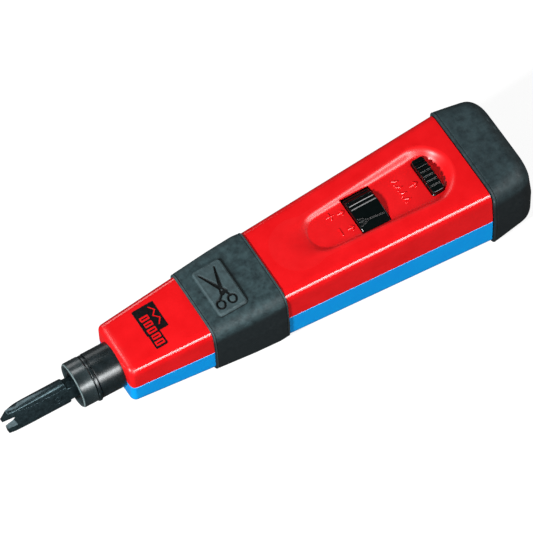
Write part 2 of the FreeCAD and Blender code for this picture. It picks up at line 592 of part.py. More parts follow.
def catch_leaf():
    """Spring leaf on the tray: two fingers under the button's legs, each with a hook."""
    front, top = TRAY_X[0] + 0.05, TRAY_Z[1] + FIT
    foot_end, rise_end = front + 0.9, front + 4
    t = LEAF_THICK
    profile = [(front, top), (foot_end, top), (rise_end, LEAF_Z), (HOOK_X[1], LEAF_Z),
               (HOOK_X[1], HOOK_TOP_Z), (HOOK_X[0] + 0.7, HOOK_TOP_Z), (HOOK_X[0], LEAF_Z + t),
               (rise_end, LEAF_Z + t), (foot_end, top + t), (front, top + t)]
    fingers = [prism([V(x, y - LEAF_WIDTH / 2, z) for x, z in profile], V(0, LEAF_WIDTH, 0))
               for y in (-LEAF_Y, LEAF_Y)]
    bridge = box((front, foot_end), (-LEAF_Y, LEAF_Y), (top, top + t))
    return bridge.fuse(fingers)


NODES = {
    "upper_shell": upper_shell,
    "lower_shell": lower_shell,
    "shell_screws": shell_screws,
    "grip_band": grip_band,
    "badge_label": badge,
    "end_cap": end_cap,
    "drawer_tray": drawer_tray,
    "spare_blade_left": lambda: spare_blade(1),
    "spare_blade_right": lambda: spare_blade(-1),
    "catch_leaf": catch_leaf,
    "release_button": release_button,
    "selector_wheel": selector_wheel,
    "selector_detent": selector_detent,
    "preload_seat": preload_seat,
    "preload_pin": preload_pin,
    "nose_collar": nose_collar,
    "collar_retaining_ring": collar_retaining_ring,
    "barrel_tube": barrel_tube,
    "barrel_plug": barrel_plug,
    "stop_pin": stop_pin,
    "trip_ramp": trip_ramp,
    "spindle": spindle,
    "return_spring": return_spring,
    "hammer": hammer,
    "hammer_spring": hammer_spring,
    "tripper": tripper,
    "tripper_spring": tripper_spring,
    "blade": blade,
    "blade_key_bush": blade_key_bush,
    "blade_clip": blade_clip,
}

os.makedirs("parts", exist_ok=True)
for name, make in NODES.items():
    shape = make()
    shape.translate(FRAME_SHIFT)
    shape.exportStep("parts/" + name + ".step")
    solids = len(shape.Solids)
    print(f"{name:24s} solids {solids}  volume {shape.Volume:9.1f}  valid {shape.isValid()}")
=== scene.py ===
import json
import math

import bmesh
import bpy
import numpy as np
from mathutils import Matrix, Vector


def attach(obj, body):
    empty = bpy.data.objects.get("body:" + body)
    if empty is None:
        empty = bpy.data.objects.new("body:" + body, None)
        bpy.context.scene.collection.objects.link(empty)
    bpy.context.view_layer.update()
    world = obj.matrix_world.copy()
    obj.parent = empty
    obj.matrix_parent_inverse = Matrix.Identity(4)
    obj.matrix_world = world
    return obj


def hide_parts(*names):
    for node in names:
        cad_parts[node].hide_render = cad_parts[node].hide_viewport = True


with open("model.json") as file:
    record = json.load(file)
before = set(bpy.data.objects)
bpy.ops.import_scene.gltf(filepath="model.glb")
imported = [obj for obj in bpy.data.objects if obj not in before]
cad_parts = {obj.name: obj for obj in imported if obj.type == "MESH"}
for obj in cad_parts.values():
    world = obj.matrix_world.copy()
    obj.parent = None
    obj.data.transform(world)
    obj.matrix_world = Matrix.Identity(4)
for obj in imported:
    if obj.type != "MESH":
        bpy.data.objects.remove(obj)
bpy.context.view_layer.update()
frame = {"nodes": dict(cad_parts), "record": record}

# Punch down tool. Shapes are worked out in millimetres on the tool's own axis (x = 0 is the front
# face of the moulded shells, +x runs to the tail, z = 0 is the parting plane) and moved into the
# frame, in metres, when a piece is finished.
MM = 0.001
SHIFT = np.array([-54.0, 0.0, 16.1])

# ---- sizes, nearly all of them those of the CAD model ----
STATIONS = (0.0, 43.8, 132.2)
HALF_WIDTHS = (11.55, 14.95, 19.8)
TOP_HEIGHTS = (9.6, 12.3, 15.3)
BOTTOM_DEPTHS = (10.8, 13.3, 15.1)
DRAFT = math.tan(math.radians(2.6))
TOP_FILLET, BOTTOM_FILLET, CROWN, NOSE_ROUND = 3.4, 3.7, 0.35, 1.8
BAND_X, BAND_PROUD, BAND_FILLET = (29.6, 56.6), 0.9, 4.6
PAD_X, PAD_Y, PAD_HEIGHT, PAD_CORNER = (34.6, 45.3), (-10.0, 9.2), 0.85, 1.3
CAP_X, CAP_PROUD, CAP_TAIL_HALF_WIDTH = (132.6, 150.0), 1.0, 19.7
DISH_FLOOR_Z, DISH_DEPTH = 11.9, 4.0
# outlines of the recess: nose end, (front x, half width), (rear x, half width), tail end
DISH_FLOOR = (74.0, (80.0, 6.5), (117.0, 8.7), 124.6)
DISH_RIM = (60.5, (75.0, 8.7), (119.0, 11.9), 128.0)
SELECTOR_X, SELECTOR_R, SELECTOR_RIM = (90.5, 100.9), 13.7, 1.8
BUTTON_X, BUTTON_HALF_Y, BUTTON_TOP_Z, BUTTON_END_Z = (117.2, 121.8), 7.3, 14.3, 13.7
COLLAR_R = 8.0
SCREW_PLACES, SCREW_WELL_R = ((50.0, 10.5), (103.0, 13.2)), 2.5

# ---- sizes of the visual shells ----
WALL, FLOOR_WALL = 1.0, 0.7
# the CAD model's inside is taken from a little further out, so that it joins the walls
CORE_WALL, CORE_FLOOR_WALL = 0.95, 0.65
COLLAR_GAP, SELECTOR_GAP, BUTTON_GAP = 0.05, 0.3, 0.2
SLOT_HALF_Y, SLOT_Z = 7.7, (5.0, 18.0)
SEAM = 0.2
INNER_COUNTS = {1: (4, 5, 50), -1: (4, 6, 16)}


# ---- meshes ----
def new_object(name, verts, faces):
    """Object of that mesh in millimetres, with its faces turned outwards."""
    mesh = bpy.data.meshes.new(name)
    mesh.from_pydata(np.asarray(verts, float).tolist(), [], faces)
    work = bmesh.new()
    work.from_mesh(mesh)
    bmesh.ops.recalc_face_normals(work, faces=work.faces)
    work.to_mesh(mesh)
    work.free()
    obj = bpy.data.objects.new(name, mesh)
    bpy.context.scene.collection.objects.link(obj)
    return obj


def loft(name, rings, wrap=False):
    """Skin over closed rings. The first and last ring are capped, or joined if wrap is set."""
    count, size = len(rings), len(rings[0])
    faces = []
    for i in range(count if wrap else count - 1):
        a, b = i * size, (i + 1) % count * size
        faces += [(a + j, a + (j + 1) % size, b + (j + 1) % size, b + j) for j in range(size)]
    if not wrap:
        faces += [tuple(range(size)), tuple(range((count - 1) * size, count * size))]
    return new_object(name, np.concatenate(rings), faces)


def lathe(name, profile, angles, closed=True):
    """Profile of (x, r) turned about the striking axis through the angles, from +Z towards +Y."""
    rings = [[(x, r * math.sin(a), r * math.cos(a)) for x, r in profile] for a in angles]
    return loft(name, np.array(rings), wrap=closed)


def full_turn(steps):
    return [2 * math.pi * i / steps for i in range(steps)]


def rod(r, x0, x1, steps=96):
    ring = [(r * math.sin(a), r * math.cos(a)) for a in full_turn(steps)]
    return loft("rod", np.array([[(x, y, z) for y, z in ring] for x in (x0, x1)]))


def upright(r, x, y, z0, z1):
    ring = [(x + r * math.cos(a), y + r * math.sin(a)) for a in full_turn(64)]
    return prism(ring, z0, z1)


def prism(outline, z0, z1):
    return loft("prism", np.array([[(x, y, z) for x, y in outline] for z in (z0, z1)]))


def block(x, y, z):
    return prism([(x[0], y[0]), (x[1], y[0]), (x[1], y[1]), (x[0], y[1])], *z)


def rounded_outline(x, y, corner):
    """Rectangle with round corners, as points."""
    points, steps = [], 8
    for cx, cy, start in ((x[1], y[1], 0), (x[0], y[1], 90), (x[0], y[0], 180), (x[1], y[0], 270)):
        sx, sy = (1 if cx == x[1] else -1), (1 if cy == y[1] else -1)
        for i in range(steps + 1):
            a = math.radians(start + 90 * i / steps)
            points.append((cx - sx * corner + corner * math.cos(a),
                           cy - sy * corner + corner * math.sin(a)))
    return points


def cad_copy(node):
    """Copy of a CAD node's mesh in millimetres, welded into a closed surface."""
    mesh = frame["nodes"][node].data.copy()
    work = bmesh.new()
    work.from_mesh(mesh)
    bmesh.ops.transform(work, matrix=Matrix.Translation(Vector(-SHIFT)) @ Matrix.Scale(1000, 4),
                        verts=work.verts)
    bmesh.ops.remove_doubles(work, verts=work.verts, dist=1e-4)
    work.to_mesh(mesh)
    work.free()
    mesh.materials.clear()
    obj = bpy.data.objects.new(node + "_copy", mesh)
    bpy.context.scene.collection.objects.link(obj)
    return obj


def take_modifiers(obj):
    """Replaces the object's mesh by what its modifiers make of it."""
    graph = bpy.context.evaluated_depsgraph_get()
    mesh = bpy.data.meshes.new_from_object(obj.evaluated_get(graph))
    obj.modifiers.clear()
    obj.data = mesh


def combine(obj, operation, *others):
    for other in others:
        modifier = obj.modifiers.new("combine", "BOOLEAN")
        modifier.solver = "MANIFOLD"
        modifier.operation = operation
        modifier.object = other
        take_modifiers(obj)
        if not obj.data.polygons:
            raise RuntimeError(f"{operation} of {obj.name} and {other.name} left nothing")
        bpy.data.objects.remove(other)
    return obj


def cut(obj, *others):
    return combine(obj, "DIFFERENCE", *others)


def join(obj, *others):
    return combine(obj, "UNION", *others)


def common(obj, *others):
    return combine(obj, "INTERSECT", *others)


def coordinates(obj):
    flat = np.empty(len(obj.data.vertices) * 3)
    obj.data.vertices.foreach_get("co", flat)
    return flat.reshape(-1, 3)


def add_mask(obj, name, values):
    """Value at each vertex, which a material reads by that name."""
    attribute = obj.data.attributes.new(name, "FLOAT", "POINT")
    attribute.data.foreach_set("value", values)


def finish_piece(obj, name, body, slot, node=None, sharp=32.0):
    """Moves the mesh into the frame, shades it and tells the frame what it is."""
    obj.name = obj.data.name = name
    obj.data.transform(Matrix.Scale(MM, 4) @ Matrix.Translation(Vector(SHIFT)))
    obj.data.polygons.foreach_set("use_smooth", [True] * len(obj.data.polygons))
    obj.data.set_sharp_from_angle(angle=math.radians(sharp))
    obj.data.materials.clear()
    obj.data.materials.append(MATERIALS[slot])
    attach(obj, body)
    if node:
        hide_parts(node)


# ---- blending ----
def soft_min(a, b, k):
    h = np.clip(0.5 + 0.5 * (b - a) / k, 0, 1)
    return b + (a - b) * h - k * h * (1 - h)


def soft_max(a, b, k):
    return -soft_min(-a, -b, k)


def ramp(value, start, end):
    t = np.clip((value - start) / (end - start), 0, 1)
    return t * t * (3 - 2 * t)


def edge_drop(radius, from_edge):
    """How far a rounded edge lies below the flat, at a distance from the edge."""
    return radius - math.sqrt(max(0.0, radius**2 - max(0.0, radius - from_edge)**2))


def rounded_top(x0, x1, top, radius, steps):
    """Points along a top edge from x0 to x1 with both its corners rounded."""
    turn = np.linspace(0, math.pi / 2, steps)
    front = [(x0 + radius * (1 - math.cos(a)), top - radius * (1 - math.sin(a))) for a in turn]
    rear = [(x1 - radius * (1 - math.sin(a)), top - radius * (1 - math.cos(a))) for a in turn]
    return front + rear


def stroke_distance(x, y, a, b):
    """Distance in the plane from the straight stroke a-b."""
    (ax, ay), (bx, by) = a, b
    t = np.clip(((x - ax) * (bx - ax) + (y - ay) * (by - ay)) / ((bx - ax)**2 + (by - ay)**2), 0, 1)
    return np.hypot(x - ax - t * (bx - ax), y - ay - t * (by - ay))


# ---- cross sections of the moulded body ----
def at(values, x):
    return float(np.interp(x, STATIONS, values))


def spread(*parts):
    """Station list from (start, end, step) parts."""
    values = []
    for start, end, step in parts:
        values += list(np.linspace(start, end, max(2, round((end - start) / step) + 1)))
    return sorted({round(v, 4) for v in values})


def half_profile(half_width, height, fillet, crown, counts, foot=0.0, seam=0.0):
    """Half a section as (y, z) from the +Y foot over the top to the -Y foot. foot is how far the
    sides run on past the parting plane, and seam is the chamfer along the parting line."""
    corner = np.array([half_width - height * DRAFT, height - crown])
    base = np.array([half_width, 0.0])
    down = (base - corner) / np.linalg.norm(base - corner)
    inward = np.array([-1.0, 2 * crown / half_width])
    inward /= np.linalg.norm(inward)
    half_angle = math.acos(float(down @ inward)) / 2
    to_centre = (down + inward) / np.linalg.norm(down + inward)
    centre = corner + to_centre * fillet / math.sin(half_angle)
    reach = fillet / math.tan(half_angle)
    start, end = corner + down * reach, corner + inward * reach
    n_side, n_fillet, n_top = counts
    low = base + down * foot
    side = [low + (start - low) * t for t in np.linspace(0, 1, n_side)]
    if seam:
        side[0] = low - np.array([seam, 0.0])
        side.insert(1, low - down * seam)
    a0 = math.atan2(*(start - centre)[::-1])
    a1 = math.atan2(*(end - centre)[::-1])
    arc = [centre + fillet * np.array([math.cos(a), math.sin(a)])
           for a in np.linspace(a0, a1, n_fillet + 1)[1:]]
    top = [np.array([end[0] * t, height - (height - end[1]) * t * t])
           for t in np.linspace(1, -1, n_top + 1)[1:-1]]
    right = np.array(side + arc)
    left = right[::-1] * np.array([-1, 1])
    return np.concatenate([right, np.array(top), left])


def ring_at(x, profile, side=1):
    return np.column_stack([np.full(len(profile), x), profile[:, 0], side * profile[:, 1]])


def body_half(name, side, offset, xs, counts, foot=0.0, seam=0.0, nose_round=0.0, shape=None):
    """Solid of one half of the body. shape(x, y, z) may lower the rings' z."""
    heights = TOP_HEIGHTS if side > 0 else BOTTOM_DEPTHS
    fillet = (TOP_FILLET if side > 0 else BOTTOM_FILLET) + offset
    rings = []
    for x in xs:
        inset = edge_drop(nose_round, x)
        profile = half_profile(at(HALF_WIDTHS, x) + offset - inset, at(heights, x) + offset - inset,
                               max(1.0, fillet - inset), CROWN, counts, foot, seam)
        ring = ring_at(x, profile, side)
        if shape:
            ring[:, 2] = shape(ring[:, 0], ring[:, 1], ring[:, 2])
        rings.append(ring)
    return loft(name, rings)


# ---- the dished recess ----
def arc_points(corner, tip, steps):
    """Arc through (x, y), (tip, 0), (x, -y) as points from +Y to -Y."""
    x, y = corner
    centre = (tip**2 - x**2 - y**2) / (2 * (tip - x))
    radius = abs(tip - centre)
    a0 = math.atan2(y, x - centre)
    a1 = -a0 if tip > x else 2 * math.pi - a0
    return [(centre + radius * math.cos(a), radius * math.sin(a)) for a in np.linspace(a0, a1, steps)]


def dish_outline(spec):
    nose, front, rear, tail = spec
    return np.array(arc_points(front, nose, 40) + arc_points(rear, tail, 40)[::-1])


def signed_distance(x, y, outline):
    """Distance from the closed outline, below zero inside."""
    x, y = np.asarray(x, float), np.asarray(y, float)
    best = np.full(x.shape, 1e9)
    inside = np.zeros(x.shape, bool)
    for (ax, ay), (bx, by) in zip(outline, np.roll(outline, -1, axis=0)):
        best = np.minimum(best, stroke_distance(x, y, (ax, ay), (bx, by)))
        if ay != by:
            crosses = (ay > y) != (by > y)
            inside ^= crosses & (x < ax + (y - ay) * (bx - ax) / (by - ay))
    return np.where(inside, -best, best)


FLOOR_OUTLINE, RIM_OUTLINE = dish_outline(DISH_FLOOR), dish_outline(DISH_RIM)


def dish_height(x, y, grow, drop):
    """Height of the recess's surface; it rises without end outside the rim. grow widens the floor
    and the rim, and drop lowers the whole."""
    beyond, corner = 2.5, 1.1
    from_floor = signed_distance(x, y, FLOOR_OUTLINE) - grow
    to_rim = grow - signed_distance(x, y, RIM_OUTLINE)
    width = np.maximum(from_floor + to_rim, 0.5)
    share = np.where(to_rim > 0, from_floor / width, 1 - to_rim / beyond)
    share = np.where(from_floor < 0, from_floor / beyond, share)
    wall = DISH_FLOOR_Z + DISH_DEPTH * share
    return soft_max(np.full_like(wall, DISH_FLOOR_Z), wall, corner) - drop


def dished(grow, drop, rim_soft):
    """Shape function for body_half that lowers its top to the recess."""
    def shape(x, y, z):
        hollow = dish_height(x, y, grow, drop)
        lowered = soft_min(z, hollow, rim_soft) if rim_soft else np.minimum(z, hollow)
        return np.where((x > 60) & (x < 130) & (z > 5), lowered, z)
    return shape


# ---- materials ----
def srgb(r, g, b):
    """Shader colour from 0 to 255 values."""
    def linear(c):
        c /= 255
        return c / 12.92 if c <= 0.04045 else ((c + 0.055) / 1.055)**2.4
    return (linear(r), linear(g), linear(b), 1.0)


def material(name, dark, light, rough, grain, mottle, metallic=0.0, wear=None, specular=0.5,
             mask=None, tints=()):
    """Procedural finish. rough is (lowest, highest), grain is [(scale per metre, depth in mm)],
    mottle is the scale of the colour's variation, wear is a colour along raised edges, mask is
    (attribute, extra grain depth in mm, extra roughness) for areas with a coarser texture, and
    tints are (attribute, colour) painted over the colour: painted shade, painted shadows and
    painted highlights, and the darker engraved sign."""
    mat = bpy.data.materials.new(name)
    mat.use_nodes = True
    tree = mat.node_tree
    nodes, links = tree.nodes, tree.links
    shader = nodes["Principled BSDF"]
    coord = nodes.new("ShaderNodeTexCoord")

    def noise(scale, detail=3.0, roughness=0.55):
        node = nodes.new("ShaderNodeTexNoise")
        node.inputs["Scale"].default_value = scale
        node.inputs["Detail"].default_value = detail
        node.inputs["Roughness"].default_value = roughness
        links.new(coord.outputs["Object"], node.inputs["Vector"])
        return node.outputs["Fac"]

    def spread_range(value, low, high, start=0.3, end=0.7):
        node = nodes.new("ShaderNodeMapRange")
        node.inputs["From Min"].default_value = start
        node.inputs["From Max"].default_value = end
        node.inputs["To Min"].default_value = low
        node.inputs["To Max"].default_value = high
        links.new(value, node.inputs["Value"])
        return node.outputs["Result"]

    def mix(factor, a, b):
        node = nodes.new("ShaderNodeMix")
        node.data_type = "RGBA"
        links.new(factor, node.inputs["Factor"])
        for socket, value in ((node.inputs[6], a), (node.inputs[7], b)):
            if isinstance(value, tuple):
                socket.default_value = value
            else:
                links.new(value, socket)
        return node.outputs[2]

    colour = mix(spread_range(noise(mottle, 5.0, 0.62), 0.0, 1.0), dark, light)
    if wear:
        geometry = nodes.new("ShaderNodeNewGeometry")
        edge = spread_range(geometry.outputs["Pointiness"], 0.0, 0.8, 0.53, 0.62)
        colour = mix(edge, colour, wear)
    for area, tint in tints:
        attribute = nodes.new("ShaderNodeAttribute")
        attribute.attribute_name = area
        colour = mix(attribute.outputs["Fac"], colour, tint)
    links.new(colour, shader.inputs["Base Color"])
    roughness = spread_range(noise(mottle * 2.3, 4.0), *rough)
    normal = None
    for scale, depth in grain:
        bump = nodes.new("ShaderNodeBump")
        bump.inputs["Distance"].default_value = depth * MM
        bump.inputs["Strength"].default_value = 1.0
        links.new(noise(scale, 2.0), bump.inputs["Height"])
        if normal:
            links.new(normal, bump.inputs["Normal"])
        normal = bump.outputs["Normal"]
    if mask:
        area, extra_depth, extra_roughness = mask
        attribute = nodes.new("ShaderNodeAttribute")
        attribute.attribute_name = area
        texture = nodes.new("ShaderNodeMath")
        texture.operation = "MULTIPLY"
        links.new(attribute.outputs["Fac"], texture.inputs[0])
        links.new(noise(3400.0, 1.0), texture.inputs[1])
        bump = nodes.new("ShaderNodeBump")
        bump.inputs["Distance"].default_value = extra_depth * MM
        links.new(texture.outputs["Value"], bump.inputs["Height"])
        links.new(normal, bump.inputs["Normal"])
        normal = bump.outputs["Normal"]
        coarser = nodes.new("ShaderNodeMath")
        coarser.operation = "MULTIPLY_ADD"
        links.new(attribute.outputs["Fac"], coarser.inputs[0])
        coarser.inputs[1].default_value = extra_roughness
        links.new(roughness, coarser.inputs[2])
        roughness = coarser.outputs["Value"]
    links.new(roughness, shader.inputs["Roughness"])
    links.new(normal, shader.inputs["Normal"])
    shader.inputs["Metallic"].default_value = metallic
    shader.inputs["Specular IOR Level"].default_value = specular
    return mat


MATERIALS = {
    "red_shell": material("red_moulded_plastic", srgb(232, 16, 22), srgb(246, 24, 30), (0.1, 0.16),
                          [(2600, 0.0001)], mottle=120, specular=0.4,
                          mask=("dish", 0.012, 0.22)),
    "blue_shell": material("blue_moulded_plastic", srgb(0, 162, 252), srgb(0, 172, 255), (0.14, 0.22),
                           [(5200, 0.0005)], mottle=120, specular=0.2),
    # band tints: shade is painted shade on the sides, pale a painted highlight on the pad rim and lips,
    # dark painted shade and painted shadow round the pad and in the grooves, and the darker sign
    "band_rubber": material("band_rubber", srgb(30, 46, 50), srgb(62, 84, 88), (0.5, 0.72),
                            [(700, 0.03), (3200, 0.012)], mottle=420, specular=0.22,
                            wear=srgb(96, 114, 118),
                            tints=(("shade", srgb(24, 33, 36)), ("pale", srgb(112, 130, 134)),
                                   ("dark", srgb(2, 5, 6)))),
    # cap tint: shade is painted shade towards the sides and bottom
    "cap_rubber": material("cap_rubber", srgb(28, 42, 46), srgb(52, 70, 74), (0.5, 0.75),
                           [(700, 0.03), (3000, 0.014)], mottle=380, specular=0.22,
                           wear=srgb(84, 100, 104), tints=(("shade", srgb(22, 31, 34)),)),
    "badge_print": material("badge_ink", srgb(8, 8, 10), srgb(22, 20, 22), (0.25, 0.4),
                            [(2500, 0.001)], mottle=900, specular=0.3),
    "black_nylon": material("black_nylon", srgb(18, 20, 22), srgb(36, 40, 42), (0.45, 0.6),
                            [(2600, 0.006)], mottle=600),
    "control_black": material("glossy_black_plastic", srgb(2, 9, 9), srgb(5, 14, 14), (0.1, 0.16),
                              [(5200, 0.0004)], mottle=500, specular=0.3),
    # sleeve tint: pale is a painted highlight round the mouth's rim
    "collar_black": material("black_turned_sleeve", srgb(14, 24, 26), srgb(30, 42, 46), (0.24, 0.3),
                             [(6000, 0.0004)], mottle=420, metallic=0.1,
                             wear=srgb(96, 114, 118), tints=(("pale", srgb(150, 172, 174)),)),
    "blade_steel": material("black_oxide_steel", srgb(36, 50, 54), srgb(64, 84, 90), (0.2, 0.28),
                            [(5200, 0.0004)], mottle=900, metallic=0.7),
    "barrel_steel": material("drawn_steel_tube", srgb(96, 100, 104), srgb(138, 142, 146), (0.3, 0.45),
                             [(4000, 0.002)], mottle=500, metallic=1.0),
    "machined_steel": material("machined_steel", srgb(70, 76, 80), srgb(120, 128, 132), (0.24, 0.4),
                               [(3500, 0.002)], mottle=600, metallic=1.0),
    "spring_steel": material("spring_steel", srgb(110, 108, 104), srgb(160, 158, 152), (0.2, 0.35),
                             [(3500, 0.001)], mottle=500, metallic=1.0),
    "plug_brass": material("turned_brass", srgb(168, 132, 62), srgb(206, 170, 96), (0.25, 0.4),
                           [(3000, 0.002)], mottle=500, metallic=1.0),
    "screw_zinc": material("zinc_plate", srgb(150, 152, 150), srgb(190, 192, 188), (0.3, 0.45),
                           [(3000, 0.002)], mottle=500, metallic=1.0),
}

# ---- finishes of the CAD nodes that stay ----
for part in frame["record"]["subparts"]:
    data = frame["nodes"][part["node"]].data
    data.materials.clear()
    data.materials.append(MATERIALS[part["material_slot"]])


# ---- shells ----
def shell_inside(name, side, wall, shape=None):
    """Solid of the room inside one shell, for that wall thickness."""
    if side > 0:
        xs = spread((wall, 60, 3), (60, 130, 0.8), (130, 134, 2))
    else:
        xs = spread((wall, 134, 5))
    return body_half(name, side, -wall, xs, INNER_COUNTS[side], foot=1.0, shape=shape)


def collar_room():
    return rod(COLLAR_R + COLLAR_GAP, -1, 11)


def selector_room():
    """Room for the wheel under the shell, and the slot above it."""
    x = (SELECTOR_X[0] - SELECTOR_GAP, SELECTOR_X[1] + SELECTOR_GAP)
    return rod(SELECTOR_R + SELECTOR_GAP, *x, 160), block(x, (-SLOT_HALF_Y, SLOT_HALF_Y), SLOT_Z)


def button_room():
    x = (BUTTON_X[0] - BUTTON_GAP, BUTTON_X[1] + BUTTON_GAP)
    y = (-BUTTON_HALF_Y - BUTTON_GAP, BUTTON_HALF_Y + BUTTON_GAP)
    return prism(rounded_outline(x, y, 0.8), *SLOT_Z)


def make_upper_shell():
    rim_softness, nose_end = 1.3, 3.0
    xs = spread((0, 1.8, 0.2), (1.8, 60, 1.6), (60, 130, 0.34), (130, 132.2, 1.1))
    shell = body_half("upper_shell", 1, 0, xs, (8, 10, 100), seam=SEAM, nose_round=NOSE_ROUND,
                      shape=dished(0, 0, rim_softness))
    inner = shell_inside("inner", 1, WALL, dished(FLOOR_WALL, FLOOR_WALL, 0))
    cut(shell, inner, collar_room(), *selector_room(), button_room())
    core = shell_inside("core", 1, CORE_WALL, dished(CORE_FLOOR_WALL, CORE_FLOOR_WALL, 0))
    join(shell, common(cad_copy("upper_shell"), core))
    x, y, z = coordinates(shell).T
    recess = np.where(z > 11, ramp(-signed_distance(x, y, RIM_OUTLINE), -1.0, 0.2), 0.0)
    add_mask(shell, "dish", np.maximum(recess, ramp(nose_end - x, 0, 0.8)))
    finish_piece(shell, "upper_shell_moulding", "handle", "red_shell", "upper_shell")


def make_lower_shell():
    xs = spread((0, 1.8, 0.2), (1.8, 132.2, 2.2))
    shell = body_half("lower_shell", -1, 0, xs, (10, 12, 24), seam=SEAM, nose_round=NOSE_ROUND)
    inner = shell_inside("inner", -1, WALL)
    holes = [upright(SCREW_WELL_R, x, y * s, -20, 1) for x, y in SCREW_PLACES for s in (1, -1)]
    cut(shell, inner, collar_room(), *holes)
    join(shell, common(cad_copy("lower_shell"), shell_inside("core", -1, CORE_WALL)))
    finish_piece(shell, "lower_shell_moulding", "handle", "blue_shell", "lower_shell")


make_upper_shell()
make_lower_shell()


# ---- grip band ----
def scissors_depth(x, y):
    """Engraved scissors sign on the pad: two open blades, a pivot and two finger loops."""
    pivot, roots = (40.1, -1.6), ((39.6, -3.0), (40.9, -2.8))
    blade_tips, blade_length, thin, thicker = ((42.3, 7.0), (36.4, 6.7)), 9.0, 0.3, 0.5
    loops_x, loop_y, loop_r, loop_stretch = (37.3, 41.5), -6.3, 1.35, 1.15
    depth = np.zeros_like(x)
    for tip, root in zip(blade_tips, roots):
        half = thin + thicker * np.clip((blade_tips[0][1] - y) / blade_length, 0, 1)
        depth = np.maximum(depth, ramp(half - stroke_distance(x, y, tip, root), -0.14, 0.14))
    for cx, root in zip(loops_x, roots):
        loop = np.abs(np.hypot(x - cx, (y - loop_y) / loop_stretch) - loop_r)
        shank = stroke_distance(x, y, root, (cx, -5.0))
        depth = np.maximum(depth, ramp(0.36 - loop, -0.12, 0.12))
        depth = np.maximum(depth, ramp(0.4 - shank, -0.12, 0.12))
    hub = np.hypot(x - pivot[0], y - pivot[1])
    return np.maximum(depth, ramp(0.75 - hub, -0.12, 0.12)) - 0.6 * ramp(0.3 - hub, -0.1, 0.1)


def pad_edge(x, y):
    """Distance from the outline of the pad, below zero inside."""
    (x0, x1), (y0, y1) = PAD_X, PAD_Y
    dx = np.maximum(x0 - x, x - x1) + PAD_CORNER
    dy = np.maximum(y0 - y, y - y1) + PAD_CORNER
    return (np.hypot(np.maximum(dx, 0), np.maximum(dy, 0)) + np.minimum(np.maximum(dx, dy), 0)
            - PAD_CORNER)


def band_height(x, y, z):
    """What the pad and its sign add to the band's top."""
    bead, engraving = 0.08, 0.6
    edge = pad_edge(x, y)
    pad = PAD_HEIGHT * ramp(-edge, 0.0, 0.45) + bead * ramp(0.45 - np.abs(edge + 0.75), 0, 0.4)
    return np.where(z > 4, pad - engraving * scissors_depth(x, y) * ramp(-edge, 0.2, 0.5), 0.0)


def make_band():
    x0, x1 = BAND_X
    counts_top, counts_bottom = (10, 16, 130), (10, 16, 24)
    lip_round, groove_depth, tail_taper = 0.35, 0.14, 0.3
    xs = spread((x0, x0 + 1.6, 0.1), (x0 + 1.6, 33.8, 0.45), (33.8, 46, 0.15), (46, x1 - 1.6, 0.45),
                (x1 - 1.6, x1, 0.1))

    def ring(x, offset, fillets, with_pad):
        top = half_profile(at(HALF_WIDTHS, x) + offset, at(TOP_HEIGHTS, x) + offset, fillets[0],
                           CROWN, counts_top)
        bottom = half_profile(at(HALF_WIDTHS, x) + offset, at(BOTTOM_DEPTHS, x) + offset,
                              fillets[1], CROWN, counts_bottom)
        upper, lower = ring_at(x, top), ring_at(x, bottom, -1)[::-1][1:-1]
        points = np.concatenate([upper, lower])
        if with_pad:
            points[:, 2] += band_height(points[:, 0], points[:, 1], points[:, 2])
        return points

    outer = []
    for x in xs:
        from_edge = min(x - x0, x1 - x)
        groove = groove_depth * float(ramp(0.22 - abs(from_edge - 0.85), 0, 0.2))
        offset = BAND_PROUD - edge_drop(lip_round, from_edge) - groove
        offset -= tail_taper * float(ramp(x, x1 - 4, x1))
        outer.append(ring(x, offset, (BAND_FILLET, BAND_FILLET), True))
    inner_xs = (x1, x1 - 9, STATIONS[1], x0 + 9, x0)
    inner = [ring(x, 0.05, (TOP_FILLET, BOTTOM_FILLET), False) for x in inner_xs]
    band = loft("band", outer + inner, wrap=True)
    tint_band(band)
    finish_piece(band, "waist_band", "handle", "band_rubber", "grip_band", sharp=40)


def tint_band(band):
    """Painted highlights on the pad's rim and the lips and a paler pad face, a darker sign, painted
    shade in the grooves, along the pad's foot and on the band's sides, and a painted shadow beside the pad.
    """
    x0, x1 = BAND_X
    x, y, z = coordinates(band).T
    on_top = z > 4
    edge, from_lip = pad_edge(x, y), np.minimum(x - x0, x1 - x)
    # painted highlights: a pale line just inside the pad's rim and along each lip; the pad's face is a
    # little paler
    pad_rim_highlight = 0.3 * ramp(0.25 - np.abs(edge + 0.3), 0, 0.2) * on_top
    pad_face = 0.15 * ramp(-edge, 0, 0.5) * on_top
    lip = 0.2 * ramp(0.25 - np.abs(from_lip - 0.4), 0, 0.2)
    add_mask(band, "pale", np.maximum(np.maximum(pad_rim_highlight, pad_face), lip))
    # painted shadow beside the pad, strongest on its tail side and towards -Y
    shadow_width = 4.5
    painted_shadow = np.where((edge > 0) & (edge < shadow_width) & on_top, (1 - edge / shadow_width)**2, 0)
    painted_shadow *= 0.15 + 0.55 * ramp(x, PAD_X[1] - 1, PAD_X[1] + 1) * ramp(y, -9, -4)
    sign = 0.97 * scissors_depth(x, y) * on_top
    # painted shade along the foot of the pad and in the grooves by the lips; the sign is simply darker
    foot = 0.85 * ramp(0.28 - np.abs(edge - 0.2), 0, 0.2) * on_top
    foot *= np.maximum(ramp(x, 44, 45.2), ramp(-y, 8.8, 9.8))
    groove = 0.5 * ramp(0.2 - np.abs(from_lip - 0.85), 0, 0.15)
    add_mask(band, "dark", np.maximum(np.maximum(sign, painted_shadow), np.maximum(foot, groove)))
    # painted shade: the band darker on its sides and underside
    add_mask(band, "shade", ramp(9.0 + 0.07 * (x - x0) - z, 0, 3.0))


make_band()


